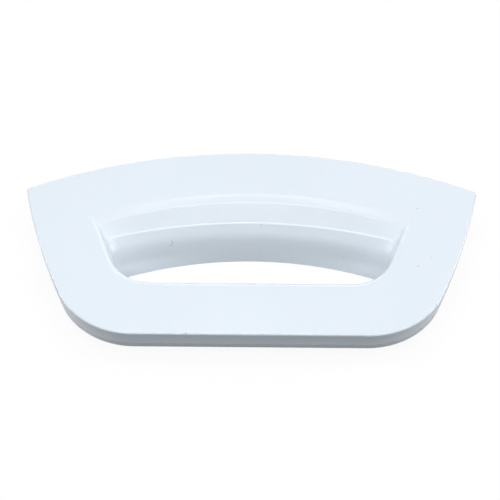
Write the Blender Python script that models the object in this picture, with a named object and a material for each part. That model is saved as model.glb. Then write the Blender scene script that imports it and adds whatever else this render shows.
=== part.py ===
"""Door handle of a front-loading washing machine, moulded in one piece of white ABS.

A fan-shaped grip frame lies flush in the door ring. Its far edge follows the ring's outer circle,
its near bar is the grip, and the far side of the finger opening steps down into a deep wall that
keeps the fingers out of the door. The back is a hollow shell with ribs and four screw posts.

Sizes are in metres. The plan is drawn with the near edge on Y = 0 and the face on Z = 0, and the
solid is then placed so that the origin is the middle of its base.
"""

import math
from collections import namedtuple

import bmesh
import bpy
from mathutils import Matrix, Vector

# Face outline: an arc on the ring's outer circle, bowed sides, large near corners, straight near edge
RING_RADIUS = 0.2158
PLAN_DEPTH = 0.0938
TIP_HALF_WIDTH = 0.0938
NEAR_HALF_WIDTH = 0.0632
SIDE_RADIUS = 0.2716
NEAR_CORNER_RADIUS = 0.0332
TIP_ROUND = 0.0012

# Shell: the face plate, and the skirt that hangs from its edge
WALL = 0.0025
SKIRT_DEPTH = 0.0093
SKIRT_DRAFT = math.radians(2.6)
SKIRT_FOOT_WALL = 0.0019
FACE_EDGE_ROUND = 0.0008

# Finger opening, measured at the wall under its rounded lip. A ledge brings its sides in under the lip.
GRIP_WIDTH = 0.0250
OPENING_NEAR_HALF_WIDTH = 0.0505
OPENING_SPLAY = math.radians(21.8)
OPENING_CORNER_RADIUS = 0.0175
CORNER_SHARE_OF_SIDE = 0.9
OPENING_DRAFT = math.radians(1.5)
LIP_ROUND = 0.0028
SIDE_LEDGE = 0.0012

# Far side of the opening, top to bottom. Each crease is an arc centred on the middle line: top is how
# far its middle lies from the near edge, depth is below the face, corner rounds it into the sides. The
# face rolls over its edge, which lies SCOOP_WIDTH beyond the scoop's crease.
Crease = namedtuple("Crease", "top depth radius corner")
SCOOP_WIDTH = 0.0037
SCOOP = Crease(top=0.0665, depth=0.0008, radius=0.1575, corner=0.0016)
FACE_EDGE = Crease(top=SCOOP.top + SCOOP_WIDTH, depth=0.0, radius=0.1922, corner=0.0020)
SHELF = Crease(top=0.0584, depth=0.0046, radius=0.1824, corner=0.0014)
BELLY = Crease(top=0.0541, depth=0.0087, radius=0.1850, corner=0.0040)
SILL = Crease(top=0.0509, depth=0.0144, radius=0.1880, corner=0.0036)
FOOT = Crease(top=0.0495, depth=0.0192, radius=0.1500, corner=0.0024)
SCOOP_ROLL = 0.0013

# Along the opening's sides its wall deepens from the skirt's depth to the foot's depth
DEEPEN_FROM = 0.0280
DEEPEN_OVER = 0.0110

# Ribs between the skirt and the opening's wall
RIB_WALL = 0.0015
RIB_RECESS = 0.0010
GRIP_RIB_PITCH = 0.0165
POCKET_RIB_PITCH = 0.0165
POCKET_RIB_PAIRS = 3
SIDE_RIB_FIRST = 0.0330
SIDE_RIB_PITCH = 0.0140
SIDE_RIBS = 2

# Screw posts, each with crossed fins and a pilot hole for a self-tapping screw
POST_RADIUS = 0.0036
PILOT_RADIUS = 0.0014
PILOT_DEPTH = 0.0140
NEAR_POST = (0.0580, 0.0180)
FAR_POST = (0.0770, 0.0610)
FIN_REACH = 0.0066
FIN_FOOT_DEPTH = 0.0140
FIN_END_DEPTH = 0.0060

# Facets: segments along each stretch of half an outline, and across each rounding
NEAR_STEPS = 5
CORNER_STEPS = 12
SIDE_STEPS = 9
FAR_CORNER_STEPS = 5
FAR_ARC_STEPS = 20
SCOOP_ROLL_STEPS = 2
UNDER_SCOOP_STEPS = 3
FACE_EDGE_STEPS = 3
POST_SIDES = 32

SMOOTH_BELOW = math.radians(24)
CUT_CLEARANCE = 0.0010


def mix(start, end, share):
    """The value that lies this share of the way from start to end."""
    return start + (end - start) * share


def arc(centre, radius, start, end, steps):
    """Points of a plan arc from one angle to another, both ends included."""
    angles = [mix(start, end, i / steps) for i in range(steps + 1)]
    return [centre + radius * Vector((math.cos(a), math.sin(a))) for a in angles]


def stretch(start, end, steps):
    """Points of a straight stretch without its last one."""
    return [start.lerp(end, i / steps) for i in range(steps)]


def angle_of(vector):
    """Angle of a plan vector from +X."""
    return math.atan2(vector.y, vector.x)


def along_to_circle(start, direction, centre, radius):
    """The last point where the line from start meets the circle."""
    offset = start - centre
    half = offset.dot(direction)
    return start + direction * (math.sqrt(half ** 2 - offset.length_squared + radius ** 2) - half)


def right_crossing(first, first_radius, second, second_radius):
    """The point furthest to +X where two circles cross."""
    between = second - first
    unit = between.normalized()
    along = (between.length_squared + first_radius ** 2 - second_radius ** 2) / (2 * between.length)
    aside = math.sqrt(first_radius ** 2 - along ** 2) * Vector((-unit.y, unit.x))
    middle = first + along * unit
    return max(middle + aside, middle - aside, key=lambda point: point.x)


def side_centre():
    """Centre of the right side's bow, which runs from the tip to the near edge's line."""
    tip_y = PLAN_DEPTH - RING_RADIUS + math.sqrt(RING_RADIUS ** 2 - TIP_HALF_WIDTH ** 2)
    near = Vector((NEAR_HALF_WIDTH, 0.0))
    chord = Vector((TIP_HALF_WIDTH, tip_y)) - near
    inward = Vector((-chord.y, chord.x)).normalized()
    return near + chord / 2 + inward * math.sqrt(SIDE_RADIUS ** 2 - chord.length_squared / 4)


def rim_outline(inset):
    """Right half of the face outline moved in by inset, from the near edge's middle to the far arc's."""
    ring, ring_radius = Vector((0.0, PLAN_DEPTH - RING_RADIUS)), RING_RADIUS - inset
    side, side_radius = side_centre(), SIDE_RADIUS - inset
    to_corner = math.sqrt((SIDE_RADIUS - NEAR_CORNER_RADIUS) ** 2 - (NEAR_CORNER_RADIUS - side.y) ** 2)
    corner = Vector((side.x + to_corner, NEAR_CORNER_RADIUS))
    tip = right_crossing(ring, ring_radius - TIP_ROUND, side, side_radius - TIP_ROUND)
    corner_end, tip_start, tip_end = angle_of(corner - side), angle_of(tip - side), angle_of(tip - ring)

    points = stretch(Vector((0.0, inset)), Vector((corner.x, inset)), NEAR_STEPS)
    points += arc(corner, NEAR_CORNER_RADIUS - inset, -math.pi / 2, corner_end, CORNER_STEPS)[:-1]
    points += arc(side, side_radius, corner_end, tip_start, SIDE_STEPS)[:-1]
    points += arc(tip, TIP_ROUND, tip_start, tip_end, FAR_CORNER_STEPS)[:-1]
    points += arc(ring, ring_radius, tip_end, math.pi / 2, FAR_ARC_STEPS)
    return points


def opening_side(spread):
    """Start on the near edge's line, direction and outward normal of the opening's right side."""
    up = Vector((math.sin(OPENING_SPLAY), math.cos(OPENING_SPLAY)))
    outward = Vector((up.y, -up.x))
    return Vector((OPENING_NEAR_HALF_WIDTH, GRIP_WIDTH)) + outward * spread, up, outward


def opening_outline(spread, top, radius, corner_radius, ledge=0.0):
    """Right half of the opening: near edge and side moved out by spread, far side on the given arc.

    A ledge brings the side in again, without the near edge.
    """
    start, up, outward = opening_side(spread - ledge)
    far = Vector((0.0, top - radius))
    far_corner = along_to_circle(start - outward * corner_radius, up, far, radius - corner_radius)
    side_angle, corner_end = angle_of(outward), angle_of(far_corner - far)

    side_length = (far_corner - start).dot(up)
    largest_radius = CORNER_SHARE_OF_SIDE * side_length / math.tan((math.pi / 2 + side_angle) / 2)
    near_y, near_radius = GRIP_WIDTH - spread, min(OPENING_CORNER_RADIUS + spread, largest_radius)
    inner = start - outward * near_radius
    near_corner = inner + up * (near_y + near_radius - inner.y) / up.y

    points = stretch(Vector((0.0, near_y)), Vector((near_corner.x, near_y)), NEAR_STEPS)
    points += arc(near_corner, near_radius, -math.pi / 2, side_angle, CORNER_STEPS)[:-1]
    side = near_corner + outward * near_radius, far_corner + outward * corner_radius
    points += stretch(*side, SIDE_STEPS)
    points += arc(far_corner, corner_radius, side_angle, corner_end, FAR_CORNER_STEPS)[:-1]
    points += arc(far, radius, corner_end, math.pi / 2, FAR_ARC_STEPS)
    return points


def ring_loop(outline, depth_at):
    """Closed loop of an outline's two halves, each point at the depth that depth_at(index, point) gives."""
    right = [Vector((p.x, p.y, -depth_at(i, p))) for i, p in enumerate(outline)]
    left = [Vector((-p.x, p.y, p.z)) for p in reversed(right[1:-1])]
    return right + left


def level(depth):
    """Depth rule of a loop that lies level."""
    return lambda index, point: depth


def far_share(index):
    """0 on the near edge and the side, rising over the far corner to 1 on the far arc."""
    into_corner = index - (NEAR_STEPS + CORNER_STEPS + SIDE_STEPS)
    return min(max(into_corner / FAR_CORNER_STEPS, 0.0), 1.0)


def wall_foot(y):
    """Depth of the opening's wall at this distance from the near edge."""
    share = min(max((y - DEEPEN_FROM) / DEEPEN_OVER, 0.0), 1.0)
    return mix(SKIRT_DEPTH, FOOT.depth, share)


def mixed(first, second, share):
    """The crease that lies this share of the way from the first to the second."""
    return Crease(*(mix(start, end, share) for start, end in zip(first, second)))


def lip_creases():
    """Arcs of the far side at the lip's levels: the scoop's soft start, its crease, the wall under it."""
    on_face = FACE_EDGE._replace(top=FACE_EDGE.top + SCOOP_ROLL)
    run = math.hypot(FACE_EDGE.top - SCOOP.top, SCOOP.depth)
    on_scoop = mixed(FACE_EDGE, SCOOP, SCOOP_ROLL / run)
    creases = []
    for step in range(SCOOP_ROLL_STEPS + 1):
        share = step / SCOOP_ROLL_STEPS
        creases.append(mixed(mixed(on_face, FACE_EDGE, share), mixed(FACE_EDGE, on_scoop, share), share))
    creases.append(SCOOP)
    for step in range(1, UNDER_SCOOP_STEPS + 1):
        depth = mix(SCOOP.depth, LIP_ROUND, step / UNDER_SCOOP_STEPS)
        creases.append(mixed(SCOOP, SHELF, (depth - SCOOP.depth) / (SHELF.depth - SCOOP.depth)))
    return creases


def opening_loop(crease, wall=0.0):
    """A loop of the opening at one crease, on its face or, with a wall, on its back.

    It lies level round the lip. Under the lip it is stretched so that the last one is the wall's foot.
    """
    lip_turn = math.acos(1 - min(crease.depth / LIP_ROUND, 1.0))
    lip_spread = LIP_ROUND * (1 - math.sin(lip_turn))
    spread = wall + lip_spread - crease.depth * math.tan(OPENING_DRAFT)
    under_lip = max(crease.depth - LIP_ROUND, 0.0)
    ledge = SIDE_LEDGE * min(under_lip / (SHELF.depth - LIP_ROUND), 1.0)
    outline = opening_outline(spread, crease.top, crease.radius, crease.corner + wall, ledge)
    if under_lip == 0.0:
        return ring_loop(outline, level(crease.depth))
    down = under_lip / (FOOT.depth - LIP_ROUND)
    return ring_loop(outline, lambda index, point: mix(LIP_ROUND, wall_foot(point.y), down))


def back_creases():
    """The creases of the far wall's back, WALL behind its face, from the face plate to the foot."""
    face = [Vector((c.top, -c.depth)) for c in (SCOOP, SHELF, BELLY, SILL, FOOT)]
    runs = [(b - a).normalized() for a, b in zip(face, face[1:])]
    behind = [Vector((-run.y, run.x)) for run in runs]

    def on_run(point, run, depth):
        return point + run * (-depth - point.y) / run.y

    back = [on_run(face[0] + WALL * behind[0], runs[0], SCOOP.depth + WALL)]
    for point, before, after in zip(face[1:-1], behind, behind[1:]):
        back.append(point + WALL * (before + after) / (1 + before.dot(after)))
    back.append(on_run(face[-1] + WALL * behind[-1], runs[-1], FOOT.depth))
    creases = zip(back, (SCOOP, SHELF, BELLY, SILL, FOOT))
    return [Crease(p.x, -p.y, c.radius + p.x - c.top, c.corner) for p, c in creases]


def skirt_loops():
    """Loops of the skirt's outside, from its foot up and over the rounded edge of the face."""
    foot_inset = (SKIRT_DEPTH - FACE_EDGE_ROUND) * math.tan(SKIRT_DRAFT)
    loops = [ring_loop(rim_outline(foot_inset), level(SKIRT_DEPTH))]
    for step in range(FACE_EDGE_STEPS + 1):
        turn = math.pi / 2 * step / FACE_EDGE_STEPS
        inset = FACE_EDGE_ROUND * (1 - math.cos(turn))
        loops.append(ring_loop(rim_outline(inset), level(FACE_EDGE_ROUND * (1 - math.sin(turn)))))
    return loops


def hollow_loops():
    """Loops of the hollow back, from the foot of the opening's wall to the foot of the skirt."""
    roof, *creases = back_creases()

    def roof_depth(index, point):
        return WALL + far_share(index) * SCOOP.depth

    roof_outline = opening_outline(WALL, roof.top, roof.radius, roof.corner + WALL)
    foot_inset = (SKIRT_DEPTH - FACE_EDGE_ROUND) * math.tan(SKIRT_DRAFT) + SKIRT_FOOT_WALL
    return [opening_loop(crease, WALL) for crease in reversed(creases)] + [
        ring_loop(roof_outline, roof_depth),
        ring_loop(rim_outline(WALL), level(WALL)),
        ring_loop(rim_outline(foot_inset), level(SKIRT_DEPTH)),
    ]


def new_object(name, mesh_builder):
    """Adds an object whose mesh mesh_builder fills, with its base's middle at the world origin."""
    bm = bmesh.new()
    mesh_builder(bm)
    bmesh.ops.recalc_face_normals(bm, faces=bm.faces)
    mesh = bpy.data.meshes.new(name)
    bm.to_mesh(mesh)
    bm.free()
    obj = bpy.data.objects.new(name, mesh)
    obj.location = (0.0, -PLAN_DEPTH / 2, FOOT.depth)
    bpy.context.scene.collection.objects.link(obj)
    return obj


def build_shell(bm):
    """The frame's section lofted round the opening: skirt, face, lip, pocket wall and hollow."""
    creases = lip_creases() + [SHELF, BELLY, SILL, FOOT]
    loops = skirt_loops() + [opening_loop(crease) for crease in creases] + hollow_loops()
    rows = [[bm.verts.new(point) for point in loop] for loop in loops]
    for row, after in zip(rows, rows[1:] + rows[:1]):
        for i in range(len(row)):
            j = (i + 1) % len(row)
            bm.faces.new((row[i], row[j], after[j], after[i]))


def plate(bm, start, direction, profile):
    """An upright plate RIB_WALL thick, its profile given as (distance along, depth) points."""
    aside = Vector((-direction.y, direction.x)) * RIB_WALL / 2
    sides = []
    for shift in (aside, -aside):
        plan = [start + direction * along + shift for along, depth in profile]
        sides.append([bm.verts.new((p.x, p.y, -depth)) for p, (_, depth) in zip(plan, profile)])
    bm.faces.new(sides[0])
    bm.faces.new(reversed(sides[1]))
    for i in range(len(profile)):
        j = (i + 1) % len(profile)
        bm.faces.new((sides[0][i], sides[1][i], sides[1][j], sides[0][j]))


def near_y(outline, x):
    """Distance from the near edge at which an outline's near side passes x."""
    run = outline[: NEAR_STEPS + CORNER_STEPS + 1]
    before, after = next(pair for pair in zip(run, run[1:]) if pair[0].x <= x <= pair[1].x)
    return mix(before.y, after.y, (x - before.x) / (after.x - before.x))


def build_grip_ribs(bm):
    """Cross ribs in the near bar, from the skirt to the opening's wall, as many as the bar takes."""
    skirt = rim_outline(WALL / 2)
    wall = opening_outline(WALL / 2, SHELF.top, SHELF.radius, SHELF.corner + WALL / 2, SIDE_LEDGE)
    pairs = int(OPENING_NEAR_HALF_WIDTH / GRIP_RIB_PITCH)
    foot = SKIRT_DEPTH - RIB_RECESS
    for i in range(-pairs, pairs + 1):
        x = i * GRIP_RIB_PITCH
        near, far = near_y(skirt, abs(x)), near_y(wall, abs(x))
        profile = [(near, WALL / 2), (far, WALL / 2), (far, foot), (near, foot)]
        plate(bm, Vector((x, 0.0)), Vector((0.0, 1.0)), profile)


def far_arc_y(top, radius, x):
    """Distance from the near edge of a far arc at x."""
    return top - radius + math.sqrt(radius ** 2 - x ** 2)


def build_pocket_ribs(bm):
    """Gussets from the skirt down the back of the pocket wall to its foot."""
    faces = (SCOOP, SHELF, BELLY, SILL, FOOT)
    for i in range(-POCKET_RIB_PAIRS, POCKET_RIB_PAIRS + 1):
        x = i * POCKET_RIB_PITCH
        profile = []
        for face, back in zip(faces, back_creases()):
            y = mix(far_arc_y(face.top, face.radius, x), far_arc_y(back.top, back.radius, x), 0.5)
            profile.append((y, mix(face.depth, back.depth, 0.5)))
        profile[0] = (profile[0][0], SCOOP.depth + WALL / 2)
        profile[-1] = (profile[-1][0], FOOT.depth - RIB_RECESS)
        skirt_y = far_arc_y(PLAN_DEPTH - WALL / 2, RING_RADIUS - WALL / 2, x)
        profile += [(skirt_y, SKIRT_DEPTH - RIB_RECESS), (skirt_y, WALL / 2)]
        plate(bm, Vector((x, 0.0)), Vector((0.0, 1.0)), profile)


def build_side_ribs(bm):
    """Gussets from the opening's sides to the skirt, square to the opening's side."""
    for i in range(SIDE_RIBS):
        start, up, outward = opening_side(WALL / 2)
        start += up * (SIDE_RIB_FIRST + i * SIDE_RIB_PITCH - start.y) / up.y
        end = along_to_circle(start, outward, side_centre(), SIDE_RADIUS - WALL / 2)
        reach = (end - start).length
        profile = [(0.0, WALL / 2), (reach, WALL / 2), (reach, SKIRT_DEPTH - RIB_RECESS)]
        profile.append((0.0, wall_foot(start.y) - RIB_RECESS))
        for side in (1, -1):
            plate(bm, Vector((side * start.x, start.y)), Vector((side * outward.x, outward.y)), profile)


def post_places():
    """Plan centres of the four screw posts."""
    return [Vector((side * x, y)) for x, y in (NEAR_POST, FAR_POST) for side in (1, -1)]


def build_fins(direction):
    """Builder of the fins that stiffen every post in one direction."""
    profile = [(-FIN_REACH, WALL / 2), (FIN_REACH, WALL / 2), (FIN_REACH, FIN_END_DEPTH)]
    profile += [(POST_RADIUS / 2, FIN_FOOT_DEPTH), (-POST_RADIUS / 2, FIN_FOOT_DEPTH)]
    profile.append((-FIN_REACH, FIN_END_DEPTH))

    def build(bm):
        for place in post_places():
            plate(bm, place, direction, profile)

    return build


def build_rods(radius, top_depth, foot_depth):
    """Builder of one upright rod at each post's place."""

    def build(bm):
        for place in post_places():
            centre = Vector((place.x, place.y, -mix(top_depth, foot_depth, 0.5)))
            bmesh.ops.create_cone(
                bm,
                cap_ends=True,
                segments=POST_SIDES,
                radius1=radius,
                radius2=radius,
                depth=foot_depth - top_depth,
                matrix=Matrix.Translation(centre),
            )

    return build


def apply_tool(target, name, mesh_builder, operation):
    """Joins a helper's mesh to the target, or cuts it away, with an exact Boolean."""
    tool = new_object(name, mesh_builder)
    tool.hide_render = True
    tool.display_type = "WIRE"
    boolean = target.modifiers.new(name, "BOOLEAN")
    boolean.operation = operation
    boolean.solver = "EXACT"
    boolean.object = tool


def gloss_abs():
    """White ABS with a cool tint, as it leaves a polished mould."""
    material = bpy.data.materials.new("gloss_white_abs")
    material.use_nodes = True
    shader = material.node_tree.nodes["Principled BSDF"]
    shader.inputs["Base Color"].default_value = (0.79, 0.86, 0.92, 1.0)
    shader.inputs["Roughness"].default_value = 0.22
    shader.inputs["Metallic"].default_value = 0.0
    return material


def main():
    for obj in list(bpy.data.objects):
        bpy.data.objects.remove(obj, do_unlink=True)

    handle = new_object("door_handle", build_shell)
    apply_tool(handle, "grip_ribs", build_grip_ribs, "UNION")
    apply_tool(handle, "pocket_ribs", build_pocket_ribs, "UNION")
    apply_tool(handle, "side_ribs", build_side_ribs, "UNION")
    apply_tool(handle, "fins_across", build_fins(Vector((1.0, 0.0))), "UNION")
    apply_tool(handle, "fins_along", build_fins(Vector((0.0, 1.0))), "UNION")
    apply_tool(handle, "screw_posts", build_rods(POST_RADIUS, WALL / 2, FOOT.depth), "UNION")
    pilot_top, pilot_foot = FOOT.depth - PILOT_DEPTH, FOOT.depth + CUT_CLEARANCE
    apply_tool(handle, "pilot_holes", build_rods(PILOT_RADIUS, pilot_top, pilot_foot), "DIFFERENCE")
    handle.data.materials.append(gloss_abs())
    handle.data.shade_smooth()
    handle.data.set_sharp_from_angle(angle=SMOOTH_BELOW)


main()
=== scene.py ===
"""Looks of a front-loading washing machine's door handle: one moulding of gloss white ABS.

The handle is lofted from closed section lines that run round its finger opening: up the skirt, over
the face, down the opening's stepped wall and back through the hollow. Ribs, fins and screw posts are
then joined to the hollow back. Sizes are in metres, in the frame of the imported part: +X along the
grip, +Y towards the far arc, +Z out of the face, with the base's middle at the origin.
"""

import logging
import math
from collections.abc import Callable, Iterable, Iterator, Sequence
from contextlib import contextmanager
from dataclasses import astuple, dataclass, field, replace
from enum import Enum
from itertools import pairwise

import bmesh
import bpy
from mathutils import Matrix, Vector


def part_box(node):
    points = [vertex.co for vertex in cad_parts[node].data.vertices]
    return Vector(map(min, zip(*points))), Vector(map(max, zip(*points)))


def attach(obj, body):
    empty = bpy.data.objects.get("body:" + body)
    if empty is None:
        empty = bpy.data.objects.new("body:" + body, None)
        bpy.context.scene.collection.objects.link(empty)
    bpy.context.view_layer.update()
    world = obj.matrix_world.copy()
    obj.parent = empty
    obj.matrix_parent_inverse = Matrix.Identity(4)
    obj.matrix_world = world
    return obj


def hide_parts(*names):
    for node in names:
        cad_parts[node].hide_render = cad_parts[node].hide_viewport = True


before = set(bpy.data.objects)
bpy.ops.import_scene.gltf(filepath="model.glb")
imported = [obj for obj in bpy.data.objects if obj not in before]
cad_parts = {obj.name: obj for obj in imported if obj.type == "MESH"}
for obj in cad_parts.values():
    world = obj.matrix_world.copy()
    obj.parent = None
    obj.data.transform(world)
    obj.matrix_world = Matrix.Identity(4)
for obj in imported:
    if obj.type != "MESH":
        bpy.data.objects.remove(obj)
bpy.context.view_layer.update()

LOG = logging.getLogger("handle")
NODE = "door_handle"
BODY = "root"

Section = list[Vector]
Profile = list[tuple[float, float]]


def mix(start: float, end: float, share: float) -> float:
    """The value that lies this share of the way from start to end."""
    return start + (end - start) * share


def eased(share: float) -> float:
    """A share held between 0 and 1, with a soft start and end."""
    held = min(max(share, 0.0), 1.0)
    return held * held * (3 - 2 * held)


def angle_of(vector: Vector) -> float:
    """Angle of a plan vector from +X, in radians."""
    return math.atan2(vector.y, vector.x)


def plan_arc(centre: Vector, radius: float, start: float, end: float, steps: int) -> Section:
    """Points of a plan arc.

    Args:
        centre: Centre of the arc.
        radius: Radius of the arc.
        start: First angle, in radians.
        end: Last angle, in radians.
        steps: Number of segments.

    Returns:
        The points from the first angle to the last, both included.
    """
    angles = (mix(start, end, i / steps) for i in range(steps + 1))
    return [centre + radius * Vector((math.cos(a), math.sin(a))) for a in angles]


def stretch(start: Vector, end: Vector, steps: int) -> Section:
    """Points of a straight stretch without its last one."""
    return [start.lerp(end, i / steps) for i in range(steps)]


def along_to_circle(start: Vector, direction: Vector, centre: Vector, radius: float) -> Vector:
    """The last point where a line meets a circle.

    Args:
        start: Where the line starts.
        direction: Unit vector along it.
        centre: Centre of the circle.
        radius: Radius of the circle.

    Returns:
        The crossing furthest along the line.
    """
    offset = start - centre
    half = offset.dot(direction)
    return start + direction * (math.sqrt(half**2 - offset.length_squared + radius**2) - half)


def deselect() -> None:
    """Selects nothing."""
    bpy.ops.object.select_all(action="DESELECT")


def only(obj: bpy.types.Object) -> None:
    """Selects one object and makes it active.

    Args:
        obj: The object.
    """
    deselect()
    obj.select_set(True)
    bpy.context.view_layer.objects.active = obj


@contextmanager
def editing() -> Iterator[None]:
    """Edit mode on the active mesh, with the whole of it selected at the start."""
    bpy.ops.object.mode_set(mode="EDIT")
    bpy.ops.mesh.select_all(action="SELECT")
    yield
    bpy.ops.object.mode_set(mode="OBJECT")


def joined(name: str, objects: Sequence[bpy.types.Object]) -> bpy.types.Object:
    """Joins mesh objects into one.

    Args:
        name: Name of the result.
        objects: What is joined; the first one takes up the rest.

    Returns:
        The joined object.
    """
    deselect()
    for obj in objects:
        obj.select_set(True)
    bpy.context.view_layer.objects.active = objects[0]
    bpy.ops.object.join()
    objects[0].name = name
    return objects[0]


class Operation(Enum):
    """What a Boolean does with its tool."""

    JOIN = "UNION"
    CUT = "DIFFERENCE"


def combine(target: bpy.types.Object, tool: bpy.types.Object, operation: Operation) -> None:
    """Joins a tool to the target, or cuts it away, and removes the tool.

    Args:
        target: The piece that is changed.
        tool: A closed mesh.
        operation: Whether the tool is joined or cut away.
    """
    only(target)
    boolean = target.modifiers.new(tool.name, "BOOLEAN")
    boolean.operation = operation.value
    boolean.solver = "EXACT"
    boolean.object = tool
    bpy.ops.object.modifier_apply(modifier=boolean.name)
    bpy.data.objects.remove(tool, do_unlink=True)


@dataclass(frozen=True)
class Crease:
    """One turn of the opening's far wall: an arc in plan, centred on the middle line.

    Attributes:
        top: How far the arc's middle lies from the near edge.
        depth: Depth below the face.
        radius: Radius of the arc.
        corner: Radius that turns it into the opening's sides.
        blend: How far the rounding across the crease reaches along the wall, each way.
    """

    top: float
    depth: float
    radius: float
    corner: float
    blend: float = 0.0

    def mixed(self, other: "Crease", share: float) -> "Crease":
        """The arc that lies this share of the way to another."""
        pairs = zip(astuple(self), astuple(other))
        return Crease(*(mix(mine, theirs, share) for mine, theirs in pairs))

    def towards(self, other: "Crease", reach: float) -> "Crease":
        """The arc that lies this far along the wall towards another, at most halfway."""
        length = math.hypot(other.top - self.top, other.depth - self.depth)
        return self.mixed(other, min(reach / length, 0.5))


@dataclass(frozen=True)
class Steps:
    """Segments along each stretch of half a section line, and across each rounding.

    A line beside each rounding, at hold times its reach, keeps the flat faces between them flat. Two
    roundings on one stretch stop short of its middle, at the share nearest_half.
    """

    near: int = 12
    corner: int = 32
    side: int = 22
    far_corner: int = 14
    far_arc: int = 64
    lip: int = 8
    edge: int = 8
    blend: int = 8
    hold: float = 1.15
    nearest_half: float = 0.48


@dataclass(frozen=True)
class HandleSizes:
    """The moulding's driving sizes.

    They are the solid's, but for the sill, which lies a little further back and deeper. The rounding of
    the creases, the corner under the shelf and the ledge's run along the side are the looks' own. The
    first section on the face lies face_run roundings away from the face's far edge.
    """

    # The face's outline, from the near edge to the arc along the door's ring.
    ring_radius: float = 0.2158
    plan_depth: float = 0.0938
    tip_half_width: float = 0.0938
    near_half_width: float = 0.0632
    side_radius: float = 0.2716
    near_corner_radius: float = 0.0332
    tip_round: float = 0.0012

    # The wall, the skirt and its parting line.
    wall: float = 0.0025
    skirt_depth: float = 0.0093
    skirt_draft: float = math.radians(2.6)
    skirt_foot_wall: float = 0.0019
    face_edge_round: float = 0.0008
    foot_edge_round: float = 0.0003
    parting_depth: float = 0.0066
    parting_height: float = 0.00016
    parting_proud: float = 0.00005
    parting_profile: tuple[float, ...] = (1.0, 0.35, -0.35, -1.0)
    room_for_grit: float = 0.00003
    face_run: float = 3.0

    # The grip bar, the opening's sides and its lip.
    grip_width: float = 0.0250
    opening_near_half_width: float = 0.0505
    opening_splay: float = math.radians(21.8)
    opening_corner_radius: float = 0.0175
    corner_share_of_side: float = 0.9
    opening_draft: float = math.radians(1.5)
    lip_round: float = 0.0028
    side_ledge: float = 0.0012
    ledge_run: float = 0.0045

    # The far wall's turns, from the face down to its foot, and how the sides deepen towards it.
    face_edge: Crease = Crease(top=0.0702, depth=0.0, radius=0.1922, corner=0.0020, blend=0.0013)
    scoop: Crease = Crease(top=0.0665, depth=0.0008, radius=0.1575, corner=0.0016, blend=0.0008)
    shelf: Crease = Crease(top=0.0584, depth=0.0046, radius=0.1824, corner=0.0014, blend=0.0009)
    belly: Crease = Crease(top=0.0541, depth=0.0087, radius=0.1850, corner=0.0040, blend=0.0034)
    sill: Crease = Crease(top=0.0513, depth=0.0149, radius=0.1880, corner=0.0036, blend=0.0008)
    foot: Crease = Crease(top=0.0495, depth=0.0192, radius=0.1500, corner=0.0024)
    under_shelf_share: float = 0.25
    under_shelf_corner: float = 0.0036
    deepen_from: float = 0.0280
    deepen_over: float = 0.0110


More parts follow.
